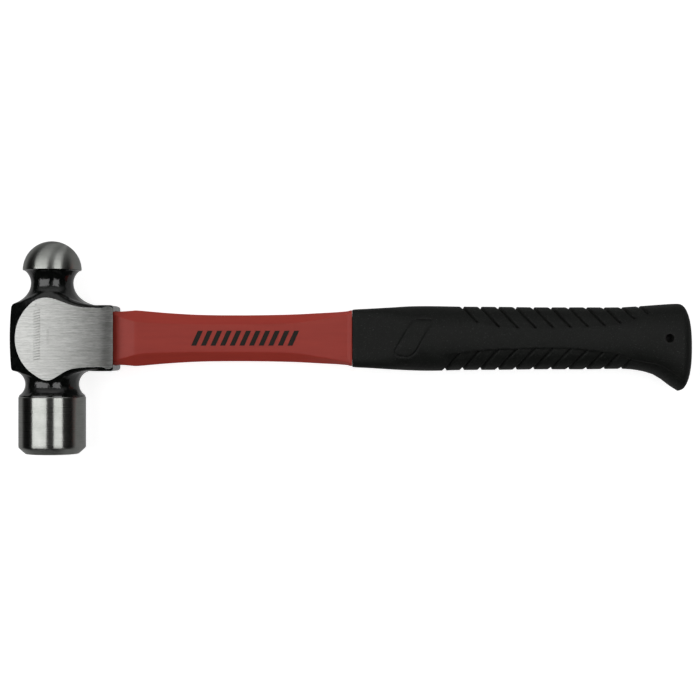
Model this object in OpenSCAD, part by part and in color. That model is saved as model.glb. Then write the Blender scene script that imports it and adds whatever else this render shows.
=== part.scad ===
// Ball peen hammer: a forged steel head bonded to a jacketed fibreglass handle with a
// rubber grip. Frame, in millimetres: the origin is the centre of the striking face,
// +X runs along the handle to the butt, +Y runs up the striking axis to the peen, and
// +Z is square to the cheeks. The hammer lies on its side with one cheek up.

/* [Head] */
// Length of the head, from the striking face to the top of the peen
head_len = 89.4; // [86:0.2:94]
// Diameter of the machined poll
poll_d = 28; // [27:0.5:29]
// Length of the machined poll, from the striking face to the paint
poll_len = 24; // [22:0.2:25]
// Chamfer round the striking face
face_chamfer = 2.8; // [1:0.2:3.6]
// Diameter of the ball peen
peen_d = 24.4; // [23.6:0.2:25]
// Diameter of the neck under the peen
peen_neck_d = 17; // [15:0.2:18]
// Diameter of the neck above the poll
poll_neck_d = 22.3; // [20:0.1:23]
// Thickness between the two ground cheeks
cheek_t = 23; // [22:0.2:24]
// Height of the eye boss along the striking axis
boss_h = 27.4; // [27:0.2:28.6]
// Distance from the striking axis to the top of the eye
eye_top = 16; // [15.5:0.1:17]
// Distance from the striking axis to the underside of the eye boss
eye_bottom = 27.1; // [26:0.1:28]

/* [Handle] */
// Distance from the striking face to the centreline of the handle
handle_y = 48.6; // [48.4:0.1:48.8]
// Where the rubber grip starts along the handle
grip_start = 126; // [122:1:128]
// Height of the fibreglass core's section
core_h = 12.4; // [9:0.2:13]
// Thickness of the fibreglass core's section
core_t = 8; // [6:0.2:8.8]
// Diameter of the hanging hole through the butt
hang_d = 3; // [2.6:0.1:4]

/* [Grip pattern] */
// Number of chevron grooves along the grip
grooves = 12; // [6:1:12]
// Distance from one groove to the next
groove_pitch = 7.4; // [6.6:0.1:7.4]
// Width of a groove where it meets the skin
groove_w = 1.5; // [1:0.1:2.2]
// Depth of a groove
groove_depth = 0.8; // [0.4:0.1:1.2]
// Half width of the smooth spine between the grooves
spine_w = 4.6; // [3:0.2:6]

/* [Hidden] */
$fn = 96;

// Head: the fillets of the two necks are concave arcs of the axial profile.
poll_r = poll_d / 2;
peen_r = peen_d / 2;
peen_y = head_len - peen_r;
cheek_z = cheek_t / 2;
boss_low = handle_y - boss_h / 2;
boss_high = handle_y + boss_h / 2;
poll_fillet = 5.6;
poll_neck_y = 29.4;
peen_fillet = 5.8;
peen_neck_y = 71.8;
rim_round = 0.3;                     // blunts the rim under the ball
body_fillet = 7.2;
body_r = 17.4;                       // where the necks' flares meet the boss
flare_angle = 58;                    // slope of the flare under the peen's neck
far = 60;                            // larger than any part of the head

// The boss's edges are bevelled all round; the top end is also bevelled by a cone.
edge_bevel = 1.9;
end_bevel = 1;
cone_x = 6.4;
cone_r = 19.8;
cone_slope = 0.8;                    // drop in Z for each millimetre outwards

// Eye: a slot with round ends that flares to the top, and a pocket for the jacket.
eye_hy = 10.2;
eye_hz = 6.4;
flare_len = 9;
flare = 0.8;
resin_sink = 0.5;
pocket_x = 17;
pocket = [0, 11.1, 7.4, 1.4, 1.4];   // laid out like a jacket station

// Jacket stations: [x, half height, half thickness, bevel in Y, bevel in Z].
jacket = [
    [eye_bottom, 11.1, 7.4, 1.4, 1.4],
    [35.4, 11.6, 9.1, 4.5, 3.4],
    [41, 11.2, 8.7, 4.9, 3.6],
    [49.5, 10.5, 8.2, 4.5, 3.3],
    [62, 9.8, 7.6, 4.0, 3.0],
    [76, 9.6, 7.4, 3.8, 2.8],
    [91.5, 9.7, 7.5, 3.8, 2.8],
    [103, 10.0, 8.0, 3.6, 2.8],
    [113, 10.5, 8.8, 2.6, 2.6],
    [120.5, 10.9, 9.5, 1.6, 2.2],
    [grip_start, 11.4, 10.0, 0.9, 1.8]
];
shank = [0, 9.0, 7.2, 2.6, 2.4];     // the same sizes under the grip
shank_end = 245;
core_end = 240;

// Grip stations: [x, half height above, half height below, half thickness].
skin = [
    [126, 12.0, 12.1, 10.8],
    [134, 12.4, 12.5, 11.2],
    [142, 12.9, 13.0, 11.5],
    [150, 13.4, 13.4, 11.8],
    [159, 13.5, 13.6, 11.9],
    [172, 13.3, 13.3, 11.8],
    [188, 13.2, 13.2, 11.6],
    [204, 13.0, 13.0, 11.4],
    [222, 13.0, 13.0, 11.4],
    [238, 13.0, 12.8, 11.5],
    [244, 13.3, 13.1, 11.8],
    [251, 13.8, 14.6, 12.1],
    [255, 14.1, 16.6, 12.3],
    [259.5, 14.4, 20.0, 12.5],
    [262.6, 14.5, 22.0, 12.6]
];
sides = 40;
section_power = 2.5;                 // 2 is an ellipse, more is squarer
start_power = 7;                     // the section is squarer where it meets the jacket
square_run = 34;                     // and loses that over this length
dome_len = 5.4;
dome_power = 2.3;
first_groove = 176;                  // where the first chevron crosses the spine
chevron = 0.86;                      // how far the chevrons lean, per millimetre
lean_width = 13.2;                   // half height the lean is worked out for
lean_in = [130, 172];
lean_out = [258.3, 262.6];
fade_out = [236, 258];               // the grooves draw back from the spine here
fade = 7;
hang_x = 257;

function smooth(t) = let (s = min(1, max(0, t))) s * s * (3 - 2 * s);
function mix(a, b, t) = a + (b - a) * t;

// A smooth curve through column c of a table whose first column is x.
function slope(t, i, c) =
    let (a = max(0, i - 1), b = min(len(t) - 1, i + 1))
    (t[b][c] - t[a][c]) / (t[b][0] - t[a][0]);
function segment(t, x) = max([0, for (i = [0 : len(t) - 2]) if (x >= t[i][0]) i]);
function curve(t, x, c) =
    let (
        i = segment(t, x),
        w = t[i + 1][0] - t[i][0],
        s = min(1, max(0, (x - t[i][0]) / w)),
        bump = s * (1 - s)
    )
    mix(t[i][c], t[i + 1][c], s * s * (3 - 2 * s))
    + w * bump * ((1 - s) * slope(t, i, c) - s * slope(t, i + 1, c));

// Faces of a skin over rings of n points each, closed at both ends.
function skin_faces(rings, n) = concat(
    [[for (j = [0 : n - 1]) j]],
    [for (i = [0 : rings - 2], j = [0 : n - 1])
        let (k = (j + 1) % n, a = i * n, b = a + n)
        each [[a + k, a + j, b + k], [b + k, a + j, b + j]]],
    [[for (j = [n - 1 : -1 : 0]) (rings - 1) * n + j]]
);

// ---- Head

function arc(cx, cy, r, a0, a1, steps) =
    [for (i = [0 : steps])
        let (a = mix(a0, a1, i / steps)) [cx + r * cos(a), cy + r * sin(a)]];

// Half of the head's outline about the striking axis, as [radius, height].
function head_profile() =
    let (
        poll_c = poll_neck_d / 2 + poll_fillet,
        body_c = peen_neck_d / 2 + body_fillet,
        peen_c = peen_neck_d / 2 + peen_fillet,
        poll_a = acos((poll_c - poll_r) / poll_fillet),
        peen_a = acos((peen_c - peen_r + rim_round) / peen_fillet)
    )
    concat(
        [[0, 0], [poll_r - face_chamfer, 0], [poll_r, face_chamfer], [poll_r, poll_len]],
        arc(poll_c, poll_neck_y, poll_fillet, 180 + poll_a, 90, 12),
        [[body_r, boss_low + 1], [body_r, boss_high]],
        arc(body_c, peen_neck_y, body_fillet, 180 + flare_angle, 180, 8),
        arc(peen_c, peen_neck_y, peen_fillet, 180, 180 - peen_a, 8),
        arc(0, peen_y, peen_r, 0, 90, 18)
    );

module turned_body() {
    rotate([90, 0, 0]) mirror([0, 0, 1]) rotate_extrude() polygon(head_profile());
}

// The eye boss: its side outline, cut to its end section.
module boss() {
    e = end_bevel;
    b = edge_bevel;
    h = boss_h / 2;
    intersection() {
        translate([0, handle_y, -cheek_z]) linear_extrude(height = cheek_t)
            polygon([
                [-eye_top + e, -h], [eye_bottom - e, -h], [eye_bottom, -h + e],
                [eye_bottom, h - e], [eye_bottom - e, h], [-eye_top + e, h],
                [-eye_top, h - e], [-eye_top, -h + e]
            ]);
        translate([-far / 2, handle_y, 0]) rotate([90, 0, 90]) linear_extrude(height = far * 2)
            polygon([
                [-h + b, -cheek_z], [h - b, -cheek_z], [h, -cheek_z + b], [h, cheek_z - b],
                [h - b, cheek_z], [-h + b, cheek_z], [-h, cheek_z - b], [-h, -cheek_z + b]
            ]);
    }
}

// The space the head is ground to: two cheek planes, coned off round the eye's top.
module head_space() {
    neck_gap = peen_neck_y - poll_neck_y;
    translate([-far, -1, -far]) cube([2 * far, poll_neck_y + 1, 2 * far]);
    translate([-far, peen_neck_y, -far]) cube([2 * far, far, 2 * far]);
    intersection() {
        translate([-eye_top, poll_neck_y, -cheek_z]) cube([far, neck_gap, cheek_t]);
        union() {
            for (side = [0, 1]) mirror([0, 0, side]) translate([cone_x, handle_y, 0])
                cylinder(h = cheek_z, r1 = cone_r + cheek_z / cone_slope, r2 = cone_r);
            translate([cone_x, poll_neck_y, -cheek_z]) cube([far, neck_gap, cheek_t]);
        }
    }
}

// A bar with round ends along the handle, hy and hz being its half height and thickness.
module bar(x0, x1, hy, hz) {
    for (side = [-1, 1]) translate([x0, handle_y + side * (hy - hz), 0])
        rotate([0, 90, 0]) cylinder(h = x1 - x0, r = hz);
    translate([x0, handle_y - hy + hz, -hz]) cube([x1 - x0, 2 * (hy - hz), 2 * hz]);
}

// The eye's flare: the same bar, growing by the given amount towards x0.
module flared_bar(x0, x1, hy, hz, grow) {
    y = hy - hz;
    for (side = [-1, 1]) translate([x0, handle_y + side * y, 0])
        rotate([0, 90, 0]) cylinder(h = x1 - x0, r1 = hz + grow, r2 = hz);
    translate([0, handle_y + y, 0]) rotate([90, 0, 0]) linear_extrude(height = 2 * y)
        polygon([[x0, -hz - grow], [x1, -hz], [x1, hz], [x0, hz + grow]]);
}

// A prism along the handle whose section is a rectangle with cut corners.
module cut_bar(x0, x1, s) {
    translate([x0, handle_y, 0]) rotate([90, 0, 90]) linear_extrude(height = x1 - x0)
        polygon(cut_section(s));
}

function cut_section(s) = [
    [s[1], -s[2] + s[4]], [s[1], s[2] - s[4]], [s[1] - s[3], s[2]], [-s[1] + s[3], s[2]],
    [-s[1], s[2] - s[4]], [-s[1], -s[2] + s[4]], [-s[1] + s[3], -s[2]], [s[1] - s[3], -s[2]]
];

module eye() {
    bar(-eye_top - 1, pocket_x, eye_hy, eye_hz);
    flared_bar(-eye_top, -eye_top + flare_len, eye_hy, eye_hz, flare);
    cut_bar(pocket_x, eye_bottom + 1, pocket);
}

module head() {
    color([0.62, 0.63, 0.64]) difference() {
        intersection() {
            union() {
                turned_body();
                boss();
            }
            head_space();
        }
        eye();
    }
}

// ---- Handle

module core_bar(x0, x1) {
    bar(x0, x1, core_h / 2, core_t / 2);
}

// Epoxy cast between the core and the eye, a little below the top of the head.
module eye_resin() {
    sink = flare * (1 - resin_sink / flare_len);
    color([0.12, 0.11, 0.10]) difference() {
        union() {
            bar(-eye_top + flare_len, pocket_x, eye_hy, eye_hz);
            flared_bar(-eye_top + resin_sink, -eye_top + flare_len, eye_hy, eye_hz, sink);
        }
        core_bar(-eye_top - 1, pocket_x + 1);
    }
}

module glass_core() {
    color([0.80, 0.77, 0.52]) core_bar(-eye_top + resin_sink, core_end);
}

module handle_jacket() {
    steps = 3;
    first = jacket[0][0];
    xs = concat(
        [for (i = [0 : len(jacket) - 2], k = [0 : steps - 1])
            mix(jacket[i][0], jacket[i + 1][0], k / steps)],
        [grip_start]
    );
    rings = [for (x = xs)
        [for (p = cut_section([for (c = [0 : 4]) curve(jacket, x, c)]))
            [x, handle_y + p[0], p[1]]]];
    color([0.60, 0.16, 0.15]) difference() {
        union() {
            cut_bar(pocket_x, first, pocket);
            polyhedron(points = [for (r = rings) each r], faces = skin_faces(len(rings), 8));
            cut_bar(grip_start, shank_end, shank);
        }
        core_bar(pocket_x - 1, core_end);
    }
}

// ---- Grip

// How far the chevrons lean at u, and how deep the groove is there.
function lean(u) = chevron * smooth((u - lean_in[0]) / (lean_in[1] - lean_in[0]))
    * (1 - smooth((u - lean_out[0]) / (lean_out[1] - lean_out[0])));

// Rings round the grip, as [u, groove depth, side]: side is 1 where only the upper half
// is grooved, -1 for only the lower half and 0 for both.
function plain_rings(u0, u1, steps) = [for (i = [0 : steps]) [mix(u0, u1, i / steps), 0, 0]];
function groove_rings() =
    [for (i = [0 : grooves - 1], s = [-0.5, -0.2, 0.2, 0.5])
        let (side = i == 0 ? -1 : (i == grooves - 1 ? 1 : 0))
        [first_groove + i * groove_pitch + s * groove_w, abs(s) < 0.3 ? groove_depth : 0, side]];
function spine(u) =
    spine_w + fade * smooth((u - fade_out[0]) / (fade_out[1] - fade_out[0]));

// How square the grip's section is at u, and one point of it for a half size of 1.
function squareness(u) =
    mix(start_power, section_power, smooth((u - grip_start) / square_run));
function section(a, power) =
    let (p = 2 / power)
    [sign(cos(a)) * pow(abs(cos(a)), p), sign(sin(a)) * pow(abs(sin(a)), p)];

function grip_ring(u, depth, side) =
    [for (j = [0 : sides - 1])
        let (
            s = section(360 * (j + 0.5) / sides, squareness(u)),
            x = max(grip_start, u - lean(u) * lean_width * abs(s[0])),
            above = curve(skin, x, 1),
            below = curve(skin, x, 2),
            y = (above - below) / 2 + s[0] * (above + below) / 2,
            z = s[1] * curve(skin, x, 3),
            grooved = abs(y) > spine(u) && side * y >= 0,
            cut = grooved ? depth / norm([y, z]) : 0
        )
        [x, handle_y + y * (1 - cut), z * (1 - cut)]];

function dome_ring(t) =
    let (
        last = skin[len(skin) - 1],
        grow = pow(1 - pow(t, dome_power), 1 / dome_power)
    )
    [for (j = [0 : sides - 1])
        let (s = section(360 * (j + 0.5) / sides, section_power) * grow)
        [last[0] + t * dome_len,
            handle_y + (last[1] - last[2]) / 2 + s[0] * (last[1] + last[2]) / 2,
            s[1] * last[3]]];

module grip() {
    rings = concat(
        [for (r = plain_rings(grip_start, first_groove - 3, 12)) grip_ring(r[0], 0, 0)],
        [for (r = groove_rings()) grip_ring(r[0], r[1], r[2])],
        [for (r = plain_rings(lean_out[0] + 0.6, lean_out[1], 6)) grip_ring(r[0], 0, 0)],
        [for (t = [0.2, 0.4, 0.6, 0.8, 0.92, 0.99]) dome_ring(t)]
    );
    color([0.09, 0.10, 0.09]) difference() {
        polyhedron(points = [for (r = rings) each r], faces = skin_faces(len(rings), sides));
        cut_bar(grip_start - 1, shank_end, shank);
        translate([hang_x, handle_y, -far / 2]) cylinder(h = far, d = hang_d);
    }
}

head();
eye_resin();
glass_core();
handle_jacket();
grip();
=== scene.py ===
"""Ball peen hammer: the visual model, built round the CAD frame.

Everything is worked out in millimetres and written to the meshes in metres. The frame is
the CAD's: +X along the handle, +Y up the striking axis, +Z out of the upper cheek.
"""

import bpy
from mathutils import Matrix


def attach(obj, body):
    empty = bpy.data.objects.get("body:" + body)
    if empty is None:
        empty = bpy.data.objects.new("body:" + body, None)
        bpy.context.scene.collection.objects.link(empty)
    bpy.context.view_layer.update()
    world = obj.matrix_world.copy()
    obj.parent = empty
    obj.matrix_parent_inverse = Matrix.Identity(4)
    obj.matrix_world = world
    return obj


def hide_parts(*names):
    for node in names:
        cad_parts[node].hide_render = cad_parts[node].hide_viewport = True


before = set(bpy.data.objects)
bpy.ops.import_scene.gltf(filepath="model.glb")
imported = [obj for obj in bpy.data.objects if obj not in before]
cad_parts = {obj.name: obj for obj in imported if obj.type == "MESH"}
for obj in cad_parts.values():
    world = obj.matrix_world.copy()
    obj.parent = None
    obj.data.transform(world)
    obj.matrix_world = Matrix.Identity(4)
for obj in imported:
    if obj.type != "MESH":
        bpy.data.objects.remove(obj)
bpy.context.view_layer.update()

import math

import bmesh
import bpy
import numpy as np

MM = 0.001

# ---------------------------------------------------------------- sizes, as in part.scad
HANDLE_Y = 48.6
HEAD_LEN = 89.39
POLL_R = 13.985
POLL_LEN = 24.0
FACE_CHAMFER = 2.8
PEEN_R = 12.2
POLL_NECK_R = 11.15
POLL_NECK_Y = 29.4
POLL_FILLET = 5.6
PEEN_NECK_R = 8.8
PEEN_NECK_Y = 71.8
PEEN_FILLET = 6.5
FLARE_REACH = 12.1
CHEEK_Z = 11.5
BOSS_LOW = 34.9
BOSS_HIGH = 62.3
EYE_TOP = 15.99
EYE_BOTTOM = 27.1
CONE_X = 6.4
CONE_R = 19.8
CONE_SLOPE = 0.8
EYE_HY, EYE_HZ = 10.2, 6.4
FLARE, FLARE_LEN = 0.8, 9.0
POCKET_X = 17.0
POCKET = (11.1, 7.4, 1.4, 1.4)
CORE_H, CORE_T = 12.4, 8.0
CORE_END = 240.0
RESIN_SINK = 0.5
GRIP_START = 126.0
SHANK = (9.0, 7.2, 2.6, 2.4)
SHANK_END = 245.0
HANG_X, HANG_R = 257.0, 1.5

# Jacket stations: x, half height, half thickness, bevel in Y, bevel in Z.
JACKET = np.array([
    (EYE_BOTTOM, 11.1, 7.4, 1.4, 1.4),
    (35.4, 11.6, 9.1, 4.5, 3.4),
    (41, 11.2, 8.7, 4.9, 3.6),
    (49.5, 10.5, 8.2, 4.5, 3.3),
    (62, 9.8, 7.6, 4.0, 3.0),
    (76, 9.6, 7.4, 3.8, 2.8),
    (91.5, 9.7, 7.5, 3.8, 2.8),
    (103, 10.0, 8.0, 3.6, 2.8),
    (113, 10.5, 8.8, 2.6, 2.6),
    (120.5, 10.9, 9.5, 1.6, 2.2),
    (GRIP_START, 11.4, 10.0, 0.9, 1.8),
])

# Grip stations: x, half height above, half height below, half thickness.
SKIN = np.array([
    (126, 12.0, 12.1, 10.8),
    (134, 12.4, 12.5, 11.2),
    (142, 12.9, 13.0, 11.5),
    (150, 13.4, 13.4, 11.8),
    (159, 13.5, 13.6, 11.9),
    (172, 13.3, 13.3, 11.8),
    (188, 13.2, 13.2, 11.6),
    (204, 13.0, 13.0, 11.4),
    (222, 13.0, 13.0, 11.4),
    (238, 13.0, 12.8, 11.5),
    (244, 13.3, 13.1, 11.8),
    (251, 13.8, 14.6, 12.1),
    (255, 14.1, 16.6, 12.3),
    (259.5, 14.4, 20.0, 12.5),
    (262.6, 14.5, 22.0, 12.6),
])
SECTION_POWER = 2.5
START_POWER = 7.0
SQUARE_RUN = 34.0
DOME_LEN = 5.34
DOME_POWER = 2.3


# ---------------------------------------------------------------- small maths
def smooth(t):
    t = np.clip(t, 0.0, 1.0)
    return t * t * (3 - 2 * t)


def ramp(x, x0, x1):
    return smooth((np.asarray(x, float) - x0) / (x1 - x0))


def curve(table, x, column):
    """The same smooth curve through a table's column as part.scad draws."""
    x = np.asarray(x, float)
    xs, ys = table[:, 0], table[:, column]
    low = np.clip(np.arange(len(xs)) - 1, 0, None)
    high = np.clip(np.arange(len(xs)) + 1, None, len(xs) - 1)
    slope = (ys[high] - ys[low]) / (xs[high] - xs[low])
    i = np.clip(np.searchsorted(xs, x, "right") - 1, 0, len(xs) - 2)
    w = xs[i + 1] - xs[i]
    s = np.clip((x - xs[i]) / w, 0.0, 1.0)
    blend = s * s * (3 - 2 * s)
    bump = s * (1 - s)
    return (ys[i] + (ys[i + 1] - ys[i]) * blend
            + w * bump * ((1 - s) * slope[i] - s * slope[i + 1]))


def spaced(points, count, ends=True):
    """count points spread evenly along an open polyline."""
    points = np.asarray(points, float)
    steps = np.linalg.norm(np.diff(points, axis=0), axis=1)
    along = np.concatenate([[0], np.cumsum(steps)])
    want = np.linspace(0, along[-1], count)
    if not ends:
        want = np.linspace(0, along[-1], count + 2)[1:-1]
    return np.stack([np.interp(want, along, points[:, k]) for k in range(points.shape[1])], 1)


def bezier(a, k, b, count):
    t = np.linspace(0, 1, count)[:, None]
    return (1 - t) ** 2 * a + 2 * t * (1 - t) * k + t ** 2 * b


# ---------------------------------------------------------------- meshes
def mesh_object(name, verts, faces, materials=(), face_slots=None):
    """A watertight object from points in millimetres, with its normals outwards."""
    mesh = bpy.data.meshes.new(name)
    mesh.from_pydata([tuple(v) for v in np.asarray(verts) * MM], [], faces)
    for material in materials:
        mesh.materials.append(material)
    if face_slots is not None:
        mesh.polygons.foreach_set("material_index", np.asarray(face_slots, np.int32))
    bm = bmesh.new()
    bm.from_mesh(mesh)
    bmesh.ops.recalc_face_normals(bm, faces=bm.faces)
    bm.to_mesh(mesh)
    bm.free()
    obj = bpy.data.objects.new(name, mesh)
    bpy.context.scene.collection.objects.link(obj)
    return obj


def skin(name, rings, materials=(), row_slots=None, loop=False):
    """A skin over rings of points, closed by a fan at each end or back on itself."""
    rings = np.asarray(rings, float)
    m, n = rings.shape[:2]
    verts = rings.reshape(-1, 3)
    faces, slots = [], []
    for i in range(m if loop else m - 1):
        a, b = i * n, ((i + 1) % m) * n
        for j in range(n):
            k = (j + 1) % n
            faces.append((a + j, a + k, b + k, b + j))
        slots += [row_slots[i] if row_slots is not None else 0] * n
    if not loop:
        ends = np.array([rings[0].mean(0), rings[-1].mean(0)])
        verts = np.concatenate([verts, ends])
        for end, first in ((0, 0), (1, (m - 1) * n)):
            tip = m * n + end
            faces += [(first + j, first + (j + 1) % n, tip) for j in range(n)]
            slot = 0 if row_slots is None else row_slots[0 if end == 0 else -1]
            slots += [slot] * n
    return mesh_object(name, verts, faces, materials, slots)


def shade(obj, degrees=32):
    """Smooth shading, but sharp at the given angle and where two materials meet."""
    mesh = obj.data
    mesh.polygons.foreach_set("use_smooth", [True] * len(mesh.polygons))
    mesh.set_sharp_from_angle(angle=math.radians(degrees))
    bm = bmesh.new()
    bm.from_mesh(mesh)
    for edge in bm.edges:
        if len({face.material_index for face in edge.link_faces}) > 1:
            edge.smooth = False
    bm.to_mesh(mesh)
    bm.free()


def carve(obj, cutter):
    """Cuts the cutter out of obj. The cut faces keep the cutter's material."""
    mod = obj.modifiers.new("carve", "BOOLEAN")
    mod.operation = "DIFFERENCE"
    mod.solver = "EXACT"
    mod.material_mode = "TRANSFER"
    mod.object = cutter
    apply_modifiers(obj)
    bpy.data.objects.remove(cutter)


def apply_modifiers(obj):
    graph = bpy.context.evaluated_depsgraph_get()
    graph.update()
    done = bpy.data.meshes.new_from_object(obj.evaluated_get(graph))
    obj.modifiers.clear()
    old = obj.data
    obj.data = done
    bpy.data.meshes.remove(old)


def tidy_mesh(obj, gap=0.0005):
    """Welds doubled points, drops slivers and splits n-gons, so the mesh stays closed."""
    bm = bmesh.new()
    bm.from_mesh(obj.data)
    bmesh.ops.remove_doubles(bm, verts=bm.verts, dist=gap * MM)
    bmesh.ops.dissolve_degenerate(bm, dist=gap * MM, edges=bm.edges)
    loose = [v for v in bm.verts if not v.link_faces]
    bmesh.ops.delete(bm, geom=loose, context="VERTS")
    big = [f for f in bm.faces if len(f.verts) > 4]
    bmesh.ops.triangulate(bm, faces=big, ngon_method="BEAUTY")
    bmesh.ops.recalc_face_normals(bm, faces=bm.faces)
    bm.to_mesh(obj.data)
    bm.free()


def finish_piece(obj, slot, *nodes):
    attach(obj, "root")
    if nodes:
        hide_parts(*nodes)
    return obj


# ---------------------------------------------------------------- node materials
class Nodes:
    """A short way to write a procedural material."""

    def __init__(self, name):
        self.material = bpy.data.materials.new(name)
        self.material.use_nodes = True
        self.tree = self.material.node_tree
        self.tree.nodes.clear()
        self.out = self.tree.nodes.new("ShaderNodeOutputMaterial")
        self.shader = self.tree.nodes.new("ShaderNodeBsdfPrincipled")
        self.tree.links.new(self.shader.outputs[0], self.out.inputs["Surface"])
        self.place = self.tree.nodes.new("ShaderNodeTexCoord").outputs["Object"]

    def link(self, a, b):
        self.tree.links.new(a, b)

    def set(self, **values):
        for key, value in values.items():
            self.shader.inputs[key.replace("_", " ")].default_value = value

    def feed(self, name, source):
        self.link(source, self.shader.inputs[name])

    def stretched(self, x, y, z):
        """The object's coordinates in millimetres, each times a factor."""
        node = self.tree.nodes.new("ShaderNodeMapping")
        node.inputs["Scale"].default_value = (x / MM, y / MM, z / MM)
        self.link(self.place, node.inputs["Vector"])
        return node.outputs[0]

    def noise(self, factors, detail=4.0, rough=0.55, distortion=0.0):
        node = self.tree.nodes.new("ShaderNodeTexNoise")
        node.inputs["Scale"].default_value = 1.0
        node.inputs["Detail"].default_value = detail
        node.inputs["Roughness"].default_value = rough
        node.inputs["Distortion"].default_value = distortion
        self.link(self.stretched(*factors), node.inputs["Vector"])
        return node.outputs["Fac"]

    def cells(self, factors):
        """Distance to the nearest of a scatter of points."""
        node = self.tree.nodes.new("ShaderNodeTexVoronoi")
        node.inputs["Scale"].default_value = 1.0
        self.link(self.stretched(*factors), node.inputs["Vector"])
        return node.outputs["Distance"]

    def ranged(self, value, a, b, c, d):
        """The value moved from the range a to b into the range c to d, and held in it."""
        node = self.tree.nodes.new("ShaderNodeMapRange")
        for key, number in (("From Min", a), ("From Max", b), ("To Min", c), ("To Max", d)):
            node.inputs[key].default_value = number
        self.link(value, node.inputs["Value"])
        return node.outputs["Result"]

    def maths(self, operation, a, b=0.5):
        node = self.tree.nodes.new("ShaderNodeMath")
        node.operation = operation
        for socket, value in zip(node.inputs, (a, b)):
            if isinstance(value, (int, float)):
                socket.default_value = value
            else:
                self.link(value, socket)
        return node.outputs[0]

    def colours(self, value, *stops):
        """A colour ramp through (position, (r, g, b)) stops."""
        node = self.tree.nodes.new("ShaderNodeValToRGB")
        elements = node.color_ramp.elements
        while len(elements) < len(stops):
            elements.new(0.5)
        for element, (at, rgb) in zip(elements, stops):
            element.position = at
            element.color = (*rgb, 1.0)
        self.link(value, node.inputs["Fac"])
        return node.outputs["Color"]

    def mix(self, factor, a, b, blend="MIX"):
        node = self.tree.nodes.new("ShaderNodeMix")
        node.data_type = "RGBA"
        node.blend_type = blend
        for key, value in (("Factor_Float", factor), ("A_Color", a), ("B_Color", b)):
            socket = next(s for s in node.inputs if s.identifier == key)
            if isinstance(value, (int, float)):
                socket.default_value = value
            elif isinstance(value, tuple):
                socket.default_value = (*value, 1.0)
            else:
                self.link(value, socket)
        return next(s for s in node.outputs if s.identifier == "Result_Color")

    def bump(self, height, depth_mm, strength=1.0, over=None):
        node = self.tree.nodes.new("ShaderNodeBump")
        node.inputs["Strength"].default_value = strength
        node.inputs["Distance"].default_value = depth_mm * MM
        self.link(height, node.inputs["Height"])
        if over is not None:
            self.link(over, node.inputs["Normal"])
        return node.outputs[0]

    def round_tangent(self, axis):
        node = self.tree.nodes.new("ShaderNodeTangent")
        node.direction_type = "RADIAL"
        node.axis = axis
        return node.outputs[0]

    def fixed_vector(self, x, y, z):
        node = self.tree.nodes.new("ShaderNodeCombineXYZ")
        for socket, value in zip(node.inputs, (x, y, z)):
            socket.default_value = value
        return node.outputs[0]


def steel_turned(name, roughest):
    """Bright steel turned round the striking axis, with fine rings and handling marks."""
    n = Nodes(name)
    rings = n.noise((0.05, 5.0, 0.05), 5, 0.6)
    wide = n.noise((0.12, 0.7, 0.12), 3)
    cloud = n.noise((0.15, 0.15, 0.15), 4)
    tone = n.maths("ADD", n.maths("MULTIPLY", rings, 0.5), n.maths("MULTIPLY", wide, 0.5))
    base = n.colours(tone, (0.25, (0.42, 0.43, 0.41)), (0.75, (0.52, 0.53, 0.505)))
    handled = n.colours(cloud, (0.35, (0.82, 0.83, 0.82)), (0.7, (1.0, 1.0, 1.0)))
    n.feed("Base Color", n.mix(1.0, base, handled, "MULTIPLY"))
    n.feed("Roughness", n.ranged(rings, 0.3, 0.7, roughest - 0.035, roughest))
    n.feed("Normal", n.bump(rings, 0.004, 0.12))
    n.feed("Tangent", n.round_tangent("Y"))
    n.set(Metallic=1.0, Anisotropic=0.95, Anisotropic_Rotation=0.25)
    return n.material


def steel_ground():
    """Cheek steel, ground along the handle: long fine scratches and a few deeper ones."""
    n = Nodes("steel_ground")
    fine = n.noise((0.45, 3.4, 1.0), 5, 0.7)
    long_ = n.noise((0.1, 2.0, 1.0), 4, 0.6)
    cloud = n.noise((0.12, 0.2, 0.2), 3)
    tone = n.maths("ADD", n.maths("MULTIPLY", fine, 0.55), n.maths("MULTIPLY", long_, 0.45))
    base = n.colours(tone, (0.36, (0.31, 0.315, 0.30)), (0.5, (0.51, 0.515, 0.50)),
                     (0.64, (0.72, 0.725, 0.705)))
    n.feed("Base Color", n.mix(n.ranged(cloud, 0.4, 0.75, 0.0, 0.25), base, (0.4, 0.4, 0.385)))
    n.feed("Roughness", n.ranged(tone, 0.3, 0.7, 0.3, 0.46))
    n.feed("Normal", n.bump(tone, 0.01, 0.5))
    n.feed("Tangent", n.fixed_vector(1, 0, 0))
    n.set(Metallic=1.0, Anisotropic=0.8, Anisotropic_Rotation=0.25)
    return n.material


def black_paint():
    """Gloss black paint over a forged skin: soft dents, orange peel and thin wear."""
    n = Nodes("black_paint")
    dents = n.noise((0.28, 0.28, 0.28), 3, 0.5)
    peel = n.noise((1.3, 1.3, 1.3), 3, 0.5)
    grime = n.noise((0.5, 0.5, 0.5), 5, 0.6)
    n.feed("Base Color", n.colours(grime, (0.35, (0.0018, 0.0022, 0.0022)),
                                   (0.7, (0.006, 0.007, 0.006))))
    n.feed("Roughness", n.ranged(grime, 0.35, 0.75, 0.1, 0.26))
    forged = n.bump(peel, 0.1, 0.45, n.bump(dents, 0.5, 0.45))
    n.feed("Normal", forged)
    n.feed("Coat Normal", forged)
    n.set(Coat_Weight=1.0, Coat_Roughness=0.04, Specular_IOR_Level=0.2)
    return n.material


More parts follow.
